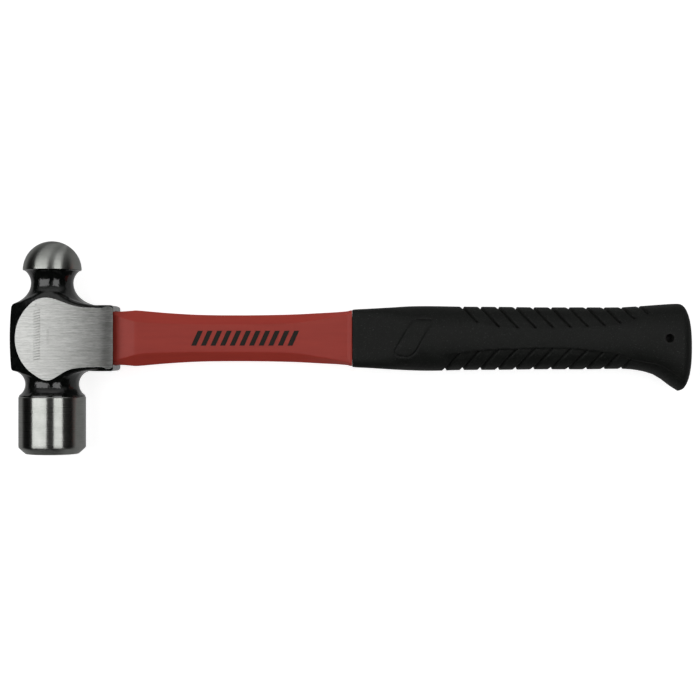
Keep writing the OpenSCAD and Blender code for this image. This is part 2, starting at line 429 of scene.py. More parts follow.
def red_plastic():
    """Satin red moulding: fine grain, slight flow streaks along it, and small scuffs."""
    n = Nodes("red_plastic")
    grain = n.noise((7, 7, 7), 2, 0.5)
    flow = n.noise((0.05, 0.5, 0.5), 4, 0.55)
    scuff = n.noise((0.35, 2.4, 2.4), 6, 0.7, 0.4)
    base = n.colours(flow, (0.3, (0.345, 0.032, 0.020)), (0.7, (0.38, 0.036, 0.0225)))
    n.feed("Base Color", n.mix(n.ranged(scuff, 0.68, 0.82, 0.0, 0.18), base,
                               (0.5, 0.13, 0.11)))
    n.feed("Roughness", n.ranged(scuff, 0.3, 0.8, 0.42, 0.58))
    n.feed("Normal", n.bump(grain, 0.02, 0.4, n.bump(flow, 0.12, 0.2)))
    n.set(Specular_IOR_Level=0.36)
    return n.material


def black_rubber():
    """Matt rubber with a fine moulded grain and the dust it always picks up."""
    n = Nodes("black_rubber")
    grain = n.noise((4, 4, 4), 3, 0.6)
    broad = n.noise((0.12, 0.12, 0.12), 4, 0.5)
    dust = n.noise((2.2, 2.2, 2.2), 2, 0.5)
    base = n.colours(broad, (0.3, (0.0042, 0.0049, 0.0042)), (0.7, (0.007, 0.008, 0.0069)))
    n.feed("Base Color", n.mix(n.ranged(dust, 0.6, 0.74, 0.0, 0.5), base,
                               (0.05, 0.052, 0.05)))
    n.feed("Roughness", n.ranged(broad, 0.3, 0.7, 0.52, 0.62))
    n.feed("Normal", n.bump(grain, 0.09, 0.7))
    n.set(Specular_IOR_Level=0.2)
    return n.material


def epoxy():
    """Dark cast resin, glossy, with small bubbles."""
    n = Nodes("epoxy_resin")
    swirl = n.noise((0.3, 0.3, 0.3), 4, 0.5, 0.8)
    bubbles = n.cells((1.1, 1.1, 1.1))
    n.feed("Base Color", n.colours(swirl, (0.3, (0.012, 0.011, 0.010)),
                                   (0.7, (0.035, 0.032, 0.028))))
    n.feed("Roughness", n.ranged(swirl, 0.3, 0.7, 0.12, 0.28))
    n.feed("Normal", n.bump(n.ranged(bubbles, 0.0, 0.22, 0.0, 1.0), 0.15, 0.5,
                            n.bump(swirl, 0.2, 0.3)))
    return n.material


def fibreglass():
    """Pultruded rod: fine fibres along X, seen end on as a close speckle."""
    n = Nodes("fibreglass")
    strands = n.cells((0.15, 5.0, 5.0))
    bundles = n.noise((0.05, 0.9, 0.9), 4, 0.6)
    saw = n.noise((2.0, 0.4, 6.0), 3, 0.5)
    base = n.colours(bundles, (0.3, (0.50, 0.44, 0.24)), (0.7, (0.74, 0.69, 0.47)))
    n.feed("Base Color", n.mix(n.ranged(strands, 0.1, 0.7, 0.0, 0.45), base,
                               (0.36, 0.30, 0.15)))
    n.feed("Roughness", n.ranged(bundles, 0.3, 0.7, 0.4, 0.65))
    n.feed("Normal", n.bump(strands, 0.04, 0.5, n.bump(saw, 0.06, 0.5)))
    return n.material


def black_ink():
    """Pad-printed ink: nearly flat black, thin in places."""
    n = Nodes("black_ink")
    thin = n.noise((1.5, 1.5, 1.5), 5, 0.6)
    n.feed("Base Color", n.colours(thin, (0.35, (0.008, 0.009, 0.007)),
                                   (0.8, (0.03, 0.018, 0.013))))
    n.feed("Roughness", n.ranged(thin, 0.3, 0.8, 0.5, 0.7))
    n.feed("Normal", n.bump(thin, 0.01, 0.4))
    n.set(Specular_IOR_Level=0.2)
    return n.material


# ---------------------------------------------------------------- head
HEAD_COLUMNS = 288
POLL, PAINT, GROUND, BALL = range(4)     # the head's materials, in slot order
FORGED_Z = 12.3          # the boss's half thickness before its cheeks were ground
CORNER_R = 2.0           # its corners, seen along the striking axis
FACE_CROWN = 0.22        # how far the striking face's rim lies behind its middle
EDGE_ROUND = 1.6         # rounding of the boss's edges at its two ends
LOW_SOFT = 4.4           # the extra rounding along its sides, under the poll's neck
HIGH_SOFT = 3.0          # and under the peen's
STRAIGHT_POINTS = 10     # points along each straight side of a slot's outline
CROWN_X = 8.0            # the cheeks are highest here and fall away towards both ends
CROWN_FALL = 0.0011
ROLL_X = 21.5            # they roll off from here to the mouth
ROLL_LEN = 6.0
ROLL_DROP = 0.31
ROLL_POWER = 2.2
STAMP_LEAN = 0.22


def boss_outline(count):
    """The boss seen along the striking axis: a rounded rectangle, evenly spaced."""
    r = CORNER_R
    points = []
    corners = ((EYE_BOTTOM, FORGED_Z, 0), (-EYE_TOP, FORGED_Z, 90),
               (-EYE_TOP, -FORGED_Z, 180), (EYE_BOTTOM, -FORGED_Z, 270))
    for cx, cz, start in corners:
        cx -= math.copysign(r, cx)
        cz -= math.copysign(r, cz)
        for a in np.radians(np.linspace(start, start + 90, 12)):
            points.append((cx + r * math.cos(a), cz + r * math.sin(a)))
    points.append(points[0])
    return spaced(points, count + 1)[:-1]


def ellipse(cx, cy, a, b, start, end, count):
    t = np.radians(np.linspace(start, end, count))
    return np.stack([cx + a * np.cos(t), cy + b * np.sin(t)], 1)


def lower_flare():
    """Radius and height from the poll's neck out along the underside of the boss."""
    c = POLL_NECK_R + POLL_FILLET
    arc = ellipse(c, POLL_NECK_Y, POLL_FILLET, POLL_FILLET, 180, 90, 40)
    out = np.array([(c + 4, BOSS_LOW), (60, BOSS_LOW)])
    return np.concatenate([arc, out])


def upper_flare():
    """The same from the peen's neck out along the top of the boss."""
    c = PEEN_NECK_R + FLARE_REACH
    drop = PEEN_NECK_Y - BOSS_HIGH
    arc = ellipse(c, PEEN_NECK_Y, FLARE_REACH, drop, 180, 270, 60)
    return np.concatenate([arc, [(60, BOSS_HIGH)]])


def flare_to_wall(flare, wall_r, d, slant, count, rows_round, side):
    """A flare cut off by the boss's wall at wall_r, its corner rounded over d square to it."""
    steps = np.linalg.norm(np.diff(flare, axis=0), axis=1)
    along = np.concatenate([[0], np.cumsum(steps)])
    s_wall = np.interp(wall_r, flare[:, 0], along)
    y_wall = np.interp(wall_r, flare[:, 0], flare[:, 1])
    s_end = max(s_wall - d / slant, 0.45 * s_wall)
    keep = np.linspace(0, s_end, count)
    neck = np.stack([np.interp(keep, along, flare[:, 0]),
                     np.interp(keep, along, flare[:, 1])], 1)
    corner = np.array([wall_r, y_wall])
    rounded = bezier(neck[-1], corner, corner + (0, side * d), rows_round)
    return neck, rounded


def poll_profile():
    """(radius, height) from the striking face up: the bare steel, then the painted neck."""
    face_r = POLL_R - FACE_CHAMFER
    crown = FACE_CROWN
    steel = [(r, crown * (r / face_r) ** 2) for r in np.linspace(1.0, face_r - 0.25, 9)]
    steel += [(face_r + 0.05, crown + 0.12), (face_r + 0.3, crown + 0.38),
              (face_r + 1.2, 1.35), (POLL_R - 0.45, FACE_CHAMFER - 0.35),
              (POLL_R - 0.12, FACE_CHAMFER + 0.05), (POLL_R, FACE_CHAMFER + 0.45)]
    steel += [(POLL_R, y) for y in np.linspace(FACE_CHAMFER + 1.6, POLL_LEN - 0.5, 14)]
    steel += [(POLL_R - 0.03, POLL_LEN - 0.15), (POLL_R - 0.15, POLL_LEN)]
    c = POLL_NECK_R + POLL_FILLET
    start = math.degrees(math.acos((c - POLL_R + 0.35) / POLL_FILLET))
    shoulder = ellipse(c, POLL_NECK_Y, POLL_FILLET, POLL_FILLET, 180 + start, 182, 14)
    painted = [(POLL_R - 0.28, POLL_LEN + 0.2)] + [tuple(p) for p in shoulder]
    return steel, painted


def peen_profile():
    """(radius, height) from the peen's neck up: the painted underside, then the ball."""
    c = PEEN_NECK_R + PEEN_FILLET
    ledge_r = PEEN_R - 1.0
    stop = math.degrees(math.acos((c - ledge_r) / PEEN_FILLET))
    peen_y = HEAD_LEN - PEEN_R
    under = [tuple(p) for p in
             ellipse(c, PEEN_NECK_Y, PEEN_FILLET, PEEN_FILLET, 178, 180 - stop, 12)]
    under += [(PEEN_R - 0.55, peen_y - 0.16), (PEEN_R - 0.2, peen_y - 0.08)]
    ball = [(PEEN_R - 0.03, peen_y + 0.12)]
    ball += [tuple(p) for p in ellipse(0, peen_y, PEEN_R, PEEN_R, 2.5, 87.5, 30)]
    return under, ball


def boss_rows(outline):
    """(radius, height) rows from neck to neck over the boss, which isn't round."""
    reach = np.linalg.norm(outline, axis=1)
    direction = outline / reach[:, None]
    flat_z = np.clip((np.abs(outline[:, 1]) - FORGED_Z + CORNER_R) / CORNER_R, 0, 1)
    along = np.roll(outline, -1, axis=0) - np.roll(outline, 1, axis=0)
    along /= np.linalg.norm(along, axis=1)[:, None]
    slant = np.abs(direction[:, 0] * along[:, 1] - direction[:, 1] * along[:, 0])
    lower, upper = lower_flare(), upper_flare()
    columns = []
    for k in range(HEAD_COLUMNS):
        low, high = EDGE_ROUND + LOW_SOFT * flat_z[k], EDGE_ROUND + HIGH_SOFT * flat_z[k]
        neck_a, round_a = flare_to_wall(lower, reach[k], low, slant[k], 16, 12, +1)
        neck_b, round_b = flare_to_wall(upper, reach[k], high, slant[k], 22, 12, -1)
        middle = spaced([round_a[-1], round_b[-1]], 34, ends=False)
        columns.append(np.concatenate([neck_a, round_a[1:], middle, round_b[::-1],
                                       neck_b[::-1][1:]]))
    return np.array(columns).transpose(1, 0, 2)


def head_rings():
    """Rings of the forged head from the face to the ball, and each ring's material."""
    outline = boss_outline(HEAD_COLUMNS)
    direction = outline / np.linalg.norm(outline, axis=1)[:, None]
    steel, painted = poll_profile()
    under, ball = peen_profile()
    below = [np.repeat(np.array([p])[None], HEAD_COLUMNS, 1) for p in steel + painted]
    above = [np.repeat(np.array([p])[None], HEAD_COLUMNS, 1) for p in under + ball]
    rows = np.concatenate(below + [boss_rows(outline)] + above)
    n_paint = len(rows) - len(steel) - len(ball)
    slots = [POLL] * len(steel) + [PAINT] * n_paint + [BALL] * len(ball)
    rings = np.stack([rows[..., 0] * direction[None, :, 0], rows[..., 1],
                      rows[..., 0] * direction[None, :, 1]], -1)
    return rings, slots


def soft_min(a, b, k):
    """The smaller of a and b, blended over k where they meet."""
    h = np.clip(0.5 + 0.5 * (b - a) / k, 0, 1)
    return b + (a - b) * h - k * h * (1 - h)


def cone_bevel(rings):
    """Forged bevel round the top of the eye: a cone about the cheeks' normal."""
    x, y, z = rings[..., 0], rings[..., 1], rings[..., 2]
    away = np.hypot(np.minimum(x - CONE_X, 0), y - HANDLE_Y)
    limit = cheek_height(CONE_X - CONE_R) + CONE_SLOPE * (CONE_R - away)
    limit = limit + np.where(x > CONE_X, 50, 0) + 50 * ramp(x, -2, CONE_X)
    in_boss = ramp(y, POLL_NECK_Y, BOSS_LOW) * (1 - ramp(y, BOSS_HIGH, BOSS_HIGH + 4))
    cut = soft_min(np.abs(z), np.maximum(limit, 3.0), 0.7)
    rings[..., 2] = np.sign(z) * (np.abs(z) * (1 - in_boss) + cut * in_boss)
    return rings


def cheek_height(x):
    """Half thickness of the ground head at x: slightly crowned, rolled off at the mouth."""
    x = np.asarray(x, float)
    roll = np.clip((x - ROLL_X) / ROLL_LEN, 0, None)
    return CHEEK_Z - CROWN_FALL * (x - CROWN_X) ** 2 - ROLL_DROP * roll ** ROLL_POWER


def cheek_cutter(side, material):
    """The steel that grinding takes off one side of the boss."""
    xs = np.concatenate([np.linspace(-20, 20, 41), np.linspace(20.5, 30, 20)])
    ys = np.linspace(POLL_NECK_Y, PEEN_NECK_Y, 24)
    top = side * (FORGED_Z + 8)
    rings = []
    for x in xs:
        z = side * float(cheek_height(x))
        rings.append([(x, y, z) for y in ys] + [(x, y, top) for y in ys[::-1]])
    return skin("cutter", rings, [material])


def bar_section(hy, hz, count):
    """A slot's outline in Y and Z, as (y, z) about the handle's centreline."""
    reach = hy - hz
    points = []
    for side in (1, -1):
        for a in np.radians(np.linspace(-90, 90, count)):
            points.append((side * (reach + hz * math.cos(a)), side * hz * math.sin(a)))
    points.append(points[0])
    return spaced(points, 2 * count + 2 * STRAIGHT_POINTS + 1)[:-1]


def cut_corners(hy, hz, cy, cz):
    """The eight corners, as (y, z), of a rectangle whose own corners are cut off."""
    return np.array([(hy, -hz + cz), (hy, hz - cz), (hy - cy, hz), (-hy + cy, hz),
                     (-hy, hz - cz), (-hy, -hz + cz), (-hy + cy, -hz), (hy - cy, -hz)])


def cut_section(size, count):
    """A rectangle with its corners cut off, evenly spaced, as (y, z)."""
    corners = cut_corners(*size)
    return spaced(np.concatenate([corners, corners[:1]]), count + 1)[:-1]


def at_x(x, section):
    return [(x, HANDLE_Y + y, z) for y, z in section]


def aligned(section):
    """The section turned so that it starts at the point nearest straight up +Y."""
    section = np.asarray(section)
    angles = np.arctan2(section[:, 1], section[:, 0])
    return np.roll(section, -int(np.argmin(np.abs(angles))), axis=0)


def eye_cutter(material):
    """The eye, from its flared top through the slot to the jacket's pocket."""
    def slot(grow):
        return aligned(bar_section(EYE_HY + grow, EYE_HZ + grow, 50))

    def pocket(grow):
        hy, hz, cy, cz = POCKET
        return aligned(cut_section((hy + grow, hz + grow, cy, cz), 120))

    lip = FLARE + 0.5
    rings = [at_x(-EYE_TOP - 1, slot(lip + 0.6)), at_x(-EYE_TOP, slot(lip)),
             at_x(-EYE_TOP + 0.5, slot(FLARE)), at_x(-EYE_TOP + FLARE_LEN, slot(0)),
             at_x(POCKET_X, slot(0)), at_x(POCKET_X, pocket(0.05)),
             at_x(EYE_BOTTOM - 0.4, pocket(0.05)), at_x(EYE_BOTTOM + 1, pocket(0.9))]
    return skin("cutter", rings, [material])


def stamped_marks():
    """x, y, length, width, depth: a row of ticks, a finer row, and a small square."""
    marks = [(-4.3, 39.9 + 1.12 * i, 2.7, 0.34, 0.13) for i in range(19)]
    marks += [(0.2, 46.3 + 0.8 * i, 0.9, 0.22, 0.07) for i in range(8)]
    marks.append((-4.6, 62.4, 0.5, 0.5, 0.2))
    return marks


def stamp_cutter(material):
    """The plain marks stamped in the upper cheek, each widening towards its mouth."""
    verts, faces = [], []
    for x, y, length, width, depth in stamped_marks():
        z = float(cheek_height(x))
        first = len(verts)
        for grow, dz in ((0.12 + 0.5, 0.5), (0.0, 0.0), (-0.1, -depth)):
            for sx, sy in ((-1, -1), (1, -1), (1, 1), (-1, 1)):
                dx = sx * (length / 2 + grow)
                dy = STAMP_LEAN * dx + sy * max(0.04, width / 2 + grow)
                verts.append((x + dx, y + dy, z + dz))
        for row in range(2):
            for j in range(4):
                a, k = first + row * 4 + j, first + row * 4 + (j + 1) % 4
                faces.append((a, k, k + 4, a + 4))
        faces.append([first + j for j in (3, 2, 1, 0)])
        faces.append([first + 8 + j for j in range(4)])
    return mesh_object("cutter", verts, faces, [material])


def build_head(poll, ball, ground, paint):
    rings, slots = head_rings()
    rings = cone_bevel(rings)
    head = skin("hammer_head", rings, [poll, paint, ground, ball], slots)
    for side in (1, -1):
        carve(head, cheek_cutter(side, ground))
    carve(head, eye_cutter(paint))
    carve(head, stamp_cutter(ground))
    tidy_mesh(head)
    shade(head, 28)
    return finish_piece(head, "forged_steel", "head")


# ---------------------------------------------------------------- core and resin
def build_core(material):
    inset = aligned(bar_section(CORE_H / 2 - 0.35, CORE_T / 2 - 0.35, 22))
    full = aligned(bar_section(CORE_H / 2, CORE_T / 2, 22))
    small = aligned(bar_section(CORE_H / 4, CORE_T / 4, 22))
    top = -EYE_TOP + RESIN_SINK
    rings = [at_x(top + 0.02, small), at_x(top, inset), at_x(top + 0.35, full)]
    rings += [at_x(x, full) for x in np.linspace(top + 2, CORE_END - 0.4, 30)]
    rings += [at_x(CORE_END, inset), at_x(CORE_END, small)]
    core = skin("glass_core_rod", rings, [material])
    shade(core)
    return finish_piece(core, "fibreglass", "glass_core")


def build_resin(material):
    """A ring of resin between the core and the eye, dished where it cured."""
    def ring(x, share):
        grow = FLARE * max(0.0, (-EYE_TOP + FLARE_LEN - x) / FLARE_LEN)
        outer = aligned(bar_section(EYE_HY + grow - 0.02, EYE_HZ + grow - 0.02, 40))
        inner = aligned(bar_section(CORE_H / 2 + 0.01, CORE_T / 2 + 0.01, 40))
        return at_x(x, inner + (outer - inner) * share)
    top = -EYE_TOP + RESIN_SINK
    rings = [ring(x, 0.0) for x in np.linspace(POCKET_X, top + 0.12, 8)]
    for share in np.linspace(0.02, 0.98, 14):
        dish = 0.5 * (1 - (2 * share - 1) ** 4)
        rings.append(ring(top + 0.02 + dish, share))
    rings += [ring(x, 1.0) for x in np.linspace(top + 0.1, -EYE_TOP + FLARE_LEN, 6)]
    rings += [ring(x, 1.0) for x in np.linspace(0, POCKET_X, 6)]
    resin = skin("eye_resin_fill", rings, [material], loop=True)
    shade(resin, 40)
    return finish_piece(resin, "epoxy", "eye_resin")


# ---------------------------------------------------------------- jacket
CORNER_POINTS = 6
SIDE_POINTS = 6
MOST_OF_SIDE = 0.42      # a rounded corner takes at most this share of a side
JACKET_SOFT = 0.3        # rounding of the shaft's facets
RIDGE_X = 35.4           # where the ramp out of the eye meets the shaft
BARS = 11                # the printed row
BAR_START, BAR_PITCH = 60.5, 4.0
BAR_WIDTH, BAR_HALF = 2.1, 3.1
BAR_LEAN = 0.45
INK_SINK, INK_THICK = 0.02, 0.06


def rounded_section(hy, hz, cy, cz, soft):
    """The jacket's section: eight corners, each rounded over the distance soft."""
    corners = cut_corners(hy, hz, cy, cz)
    points = []
    for i in range(8):
        before, here, after = corners[i - 1], corners[i], corners[(i + 1) % 8]
        back, on = before - here, after - here
        a = here + back * min(MOST_OF_SIDE, soft / np.linalg.norm(back))
        b = here + on * min(MOST_OF_SIDE, soft / np.linalg.norm(on))
        side_end = after - on * min(MOST_OF_SIDE, soft / np.linalg.norm(on))
        points += list(bezier(a, here, b, CORNER_POINTS))
        points += list(spaced([b, side_end], SIDE_POINTS, ends=False))
    return points


def jacket_sizes(x):
    """Half height, half thickness and bevels of the jacket at x."""
    return [float(curve(JACKET, x, k)) for k in (1, 2, 3, 4)]


def build_jacket(material):
    """The red moulding: tenon in the eye, faceted shaft, a lip, and the shank in the grip."""
    rings = []
    tenon = [POCKET_X + 0.02, POCKET_X + 0.5, 20, 23, 25.5, EYE_BOTTOM]
    for x in tenon:
        size = [POCKET[0] - 0.03, POCKET[1] - 0.03, POCKET[2], POCKET[3]]
        rings.append(at_x(x, rounded_section(*size, 0.7)))
    xs = np.concatenate([np.linspace(EYE_BOTTOM + 0.3, RIDGE_X - 0.9, 12),
                         np.linspace(RIDGE_X - 0.5, RIDGE_X + 0.5, 5),
                         np.linspace(RIDGE_X + 1, GRIP_START - 2.2, 110)])
    for x in xs:
        hy, hz, cy, cz = jacket_sizes(x)
        if x < RIDGE_X:                                 # a flat ramp up to a crisp ridge
            t = (x - EYE_BOTTOM) / (RIDGE_X - EYE_BOTTOM)
            ends = [jacket_sizes(EYE_BOTTOM), jacket_sizes(RIDGE_X)]
            hy, hz, cy, cz = [a + (b - a) * t for a, b in zip(*ends)]
            hy -= 0.12 * math.sin(math.pi * t)
        rings.append(at_x(x, rounded_section(hy, hz, cy, cz, JACKET_SOFT)))
    for x, lift in ((GRIP_START - 1.7, 0.02), (GRIP_START - 1.3, 0.14),
                    (GRIP_START - 0.8, 0.2), (GRIP_START - 0.25, 0.2),
                    (GRIP_START - 0.05, 0.08)):
        hy, hz, cy, cz = jacket_sizes(x)
        rings.append(at_x(x, rounded_section(hy + lift, hz + lift, cy, cz, 0.6)))
    for x in (GRIP_START - 0.02, GRIP_START + 1, 160, 200, SHANK_END - 0.5):
        rings.append(at_x(x, rounded_section(*[s - 0.03 for s in SHANK], 0.8)))
    rings.append(at_x(SHANK_END - 0.03, rounded_section(8.4, 6.6, 2.4, 2.2, 0.8)))
    n = len(rings[0])
    bore = aligned(bar_section(CORE_H / 2 + 0.02, CORE_T / 2 + 0.02, n // 2 - 10))
    # The bore is closed at the core's end, and both skins meet at the tenon's end.
    inner = [at_x(x, bore) for x in (CORE_END + 0.03, 200, 120, 60, POCKET_X + 0.02)]
    outer = [np.roll(np.asarray(r), -nearest_up(r), axis=0) for r in rings]
    jacket = skin("jacket_shell", inner + outer, [material])
    shade(jacket, 24)
    return finish_piece(jacket, "red_plastic", "handle_jacket")


def nearest_up(ring):
    """Which of a ring's points is nearest straight up +Y from the handle's centreline."""
    ring = np.asarray(ring)
    angles = np.arctan2(ring[:, 2], ring[:, 1] - HANDLE_Y)
    return int(np.argmin(np.abs(angles)))


def build_print(material):
    """A plain row of slanted bars printed on the shaft's front panel."""
    verts, faces = [], []
    steps = 5
    for i in range(BARS):
        x0 = BAR_START + BAR_PITCH * i
        first = len(verts)
        for layer in (0.0, INK_THICK):
            for row in range(steps + 1):
                y = -BAR_HALF + 2 * BAR_HALF * row / steps
                for column in range(3):
                    x = x0 + BAR_LEAN * y + BAR_WIDTH * column / 2
                    z = jacket_sizes(x)[1] + layer - INK_SINK
                    verts.append((x, HANDLE_Y + y, z))
        per = (steps + 1) * 3
        for row in range(steps):
            for column in range(2):
                a = first + row * 3 + column
                faces.append((a, a + 1, a + 4, a + 3))
                faces.append((a + per, a + per + 3, a + per + 4, a + per + 1))
        edge = [first + c for c in range(3)]
        edge += [first + r * 3 + 2 for r in range(1, steps + 1)]
        edge += [first + steps * 3 + c for c in (1, 0)]
        edge += [first + r * 3 for r in range(steps - 1, 0, -1)]
        for a, b in zip(edge, edge[1:] + edge[:1]):
            faces.append((a, b, b + per, a + per))
    bars = mesh_object("shaft_bars", verts, faces, [material])
    shade(bars)
    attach(bars, "root")
    return bars


# ---------------------------------------------------------------- grip
GRIP_COLUMNS = 216
PITCH = 7.4              # between grooves
LEAN = 0.86              # how far the chevrons lean, per millimetre from the spine
LEAN_IN = (128, 172)
LEAN_OUT = (257.6, 263.5)
FOLD = 2.0               # rounding of the chevrons' points
GROOVE_WIDTH = 1.9
GROOVE_DEPTH = 1.15
FIRST_UPPER = 181.85
UPPER_GROOVES = 11
LAST_ROW = 263.7
EDGE_HALF = 13.2         # usual half height, and half thickness
FLANK_HALF = 11.6
LOW_RECESS, HIGH_RECESS = 0.42, 0.2
PANEL_DEPTH = 0.42
PANEL_LINE = (0.08, 0.42)    # half width of its groove's floor, and of each side
PIP = (148.3, -10.4)
PIP_HEIGHT, PIP_R = 0.28, 0.45
PARTING_HEIGHT, PARTING_HALF = 0.07, 0.3

# Where the smooth spine ends: x, distance from the centreline.
LOWER_CREASE = np.array([(160, 7.6), (165.5, 6.8), (180.4, 4.95), (197, 4.15), (217, 4.15),
                         (226, 5.2), (236, 6.6), (242, 8.7), (247, 9.7), (254.6, 11.5),
                         (262, 16.3), (268, 20)])
UPPER_EDGE = np.array([(160, 8.4), (172, 7.4), (179.5, 5.9), (187, 4.4), (194.5, 3.9),
                       (210, 4.1), (225, 4.6), (233, 5.2), (240, 6.8), (247, 9.0),
                       (252, 11.3), (262, 13.5), (268, 14)])


def squareness(u):
    """The section's power: nearly a rectangle at the grip's start, softer further on."""
    return START_POWER + (SECTION_POWER - START_POWER) * float(ramp(u, GRIP_START,
                                                                   GRIP_START + SQUARE_RUN))


def section(a, power):
    """A point of a rounded section at angle a, for half sizes of 1."""
    p = 2 / power
    return (np.sign(np.cos(a)) * np.abs(np.cos(a)) ** p,
            np.sign(np.sin(a)) * np.abs(np.sin(a)) ** p)


def even_section(power):
    """Points spaced evenly round the grip's section, for half sizes of 1."""
    a = np.linspace(0, 2 * math.pi, 6001)
    y, z = section(a, power)
    steps = np.hypot(np.diff(EDGE_HALF * y), np.diff(FLANK_HALF * z))
    along = np.concatenate([[0], np.cumsum(steps)])
    want = (np.arange(GRIP_COLUMNS) + 0.5) / GRIP_COLUMNS * along[-1]
    return np.interp(want, along, y), np.interp(want, along, z)


def lean(u):
    """The chevrons' lean at u, none at the grip's two ends."""
    return LEAN * ramp(u, *LEAN_IN) * (1 - ramp(u, *LEAN_OUT))


def fold(y):
    """|y| with its kink at the spine rounded."""
    return np.sqrt(y * y + FOLD ** 2) - FOLD


def groove_rows():
    """Values of u for the rings: close together at each groove, the panel and the ends."""
    centres = FIRST_UPPER - PITCH + PITCH * np.arange(UPPER_GROOVES + 1)
    across = np.array([-0.75, -0.56, -0.44, -0.3, -0.12, 0.12, 0.3, 0.44, 0.56, 0.75])
    rows = [np.linspace(GRIP_START + 1.2, 141, 16), np.arange(141.4, 162, 0.26),
            np.linspace(162.6, centres[0] - 2.2, 12)]
    for centre in centres:
        rows.append(centre + across * GROOVE_WIDTH)
        rows.append(centre + np.array([1.75, 2.6, 3.7, 4.8, 5.65]))
    rows.append(np.linspace(centres[-1] + 5.9, LAST_ROW - 0.1, 6))
    rows = np.unique(np.concatenate(rows))
    return rows[rows < LAST_ROW]


def groove_depth(u, x, y):
    """How deep the chevron grooves are at these points."""
    phase = (u - FIRST_UPPER + PITCH) / PITCH
    index = np.round(phase)
    off = np.abs(phase - index) * PITCH / (GROOVE_WIDTH / 2)
    shape = 1 - smooth((off - 0.3) / 0.7)
    above = (y > 0) & (index >= 1) & (index <= UPPER_GROOVES)
    below = (y < 0) & (index >= 0) & (index <= UPPER_GROOVES - 1)
    top_edge = curve(UPPER_EDGE, x, 1)
    low_edge = curve(LOWER_CREASE, x, 1)
    mask = np.where(above, ramp(y - top_edge, -0.1, 0.7), 0)
    mask = np.where(below, ramp(-y - low_edge, 0.1, 0.8), mask)
    return GROOVE_DEPTH * shape * mask


def flank_recess(x, y, z):
    """The flanks lie a little below the spine, with a crease along the lower one."""
    low = ramp(-y - curve(LOWER_CREASE, x, 1), 0.0, 0.55) * ramp(x, 160, 172)
    high = ramp(y - curve(UPPER_EDGE, x, 1), 0.0, 1.6) * ramp(x, 166, 180)
    fade = np.clip(np.abs(z) / 9.0, 0, 1)
    return (LOW_RECESS * low + HIGH_RECESS * high) * fade * (1 - ramp(x, 264, 268))


def distance_to_path(x, y, path):
    """How far each point is from the nearest piece of the path."""
    best = np.full(np.shape(x), 1e9)
    for (ax, ay), (bx, by) in zip(path, path[1:]):
        dx, dy = bx - ax, by - ay
        t = np.clip(((x - ax) * dx + (y - ay) * dy) / (dx * dx + dy * dy), 0, 1)
        best = np.minimum(best, np.hypot(x - ax - t * dx, y - ay - t * dy))
    return best


def panel_path():
    """Outline of the small blank panel: a slanted shape with a round lower end."""
    corners = np.array([(151.2, 8.0), (159.6, 8.0), (151.9, -6.4), (149.2, -8.0),
                        (144.6, -7.6), (143.4, -5.6)])
    path = []
    for i, here in enumerate(corners):
        before, after = corners[i - 1], corners[(i + 1) % len(corners)]
        soft = 1.5 if i < 3 else 1.2
        a = here + (before - here) * min(0.45, soft / np.linalg.norm(before - here))
        b = here + (after - here) * min(0.45, soft / np.linalg.norm(after - here))
        path += [tuple(p) for p in bezier(a, here, b, 5)]
    return path + path[:1]


def panel_groove(x, y):
    """Depth of the fine groove round the panel."""
    floor, side = PANEL_LINE
    return PANEL_DEPTH * (1 - smooth((distance_to_path(x, y, panel_path()) - floor) / side))


def grip_ring(u):
    """One ring of the grip. Rings lean with the chevrons, so that a groove follows them."""
    cy, cz = even_section(squareness(u))
    nominal = cy * EDGE_HALF
    x = np.maximum(u - lean(u) * fold(nominal), GRIP_START + 0.9)
    above, below = curve(SKIN, x, 1), curve(SKIN, x, 2)
    y = (above - below) / 2 + cy * (above + below) / 2
    z = cz * curve(SKIN, x, 3)
    last = SKIN[-1, 0]
    t = np.clip((x - last) / DOME_LEN, 0, 0.999)
    shrink = (1 - t ** DOME_POWER) ** (1 / DOME_POWER)
    middle = (above - below) / 2
    y, z = middle + (y - middle) * shrink, z * shrink
    depth = groove_depth(u, x, y) + flank_recess(x, y, z)
    depth += np.where(np.abs(z) > 6, panel_groove(x, y), 0)
    pip = np.hypot(x - PIP[0], y - PIP[1])
    depth -= PIP_HEIGHT * np.exp(-(pip / PIP_R) ** 2) * (z > 0)
    depth -= PARTING_HEIGHT * np.exp(-(z / PARTING_HALF) ** 2)
    size = np.hypot(y, z)
    scale = 1 - depth / size
    return np.stack([x, HANDLE_Y + y * scale, z * scale], 1)


def dome_ring(t):
    """A ring of the rounded end of the butt."""
    cy, cz = even_section(SECTION_POWER)
    grow = (1 - t ** DOME_POWER) ** (1 / DOME_POWER)
    x, above, below, thick = SKIN[-1]
    y = (above - below) / 2 + cy * grow * (above + below) / 2
    return np.stack([np.full_like(y, x + t * DOME_LEN), HANDLE_Y + y, cz * grow * thick], 1)


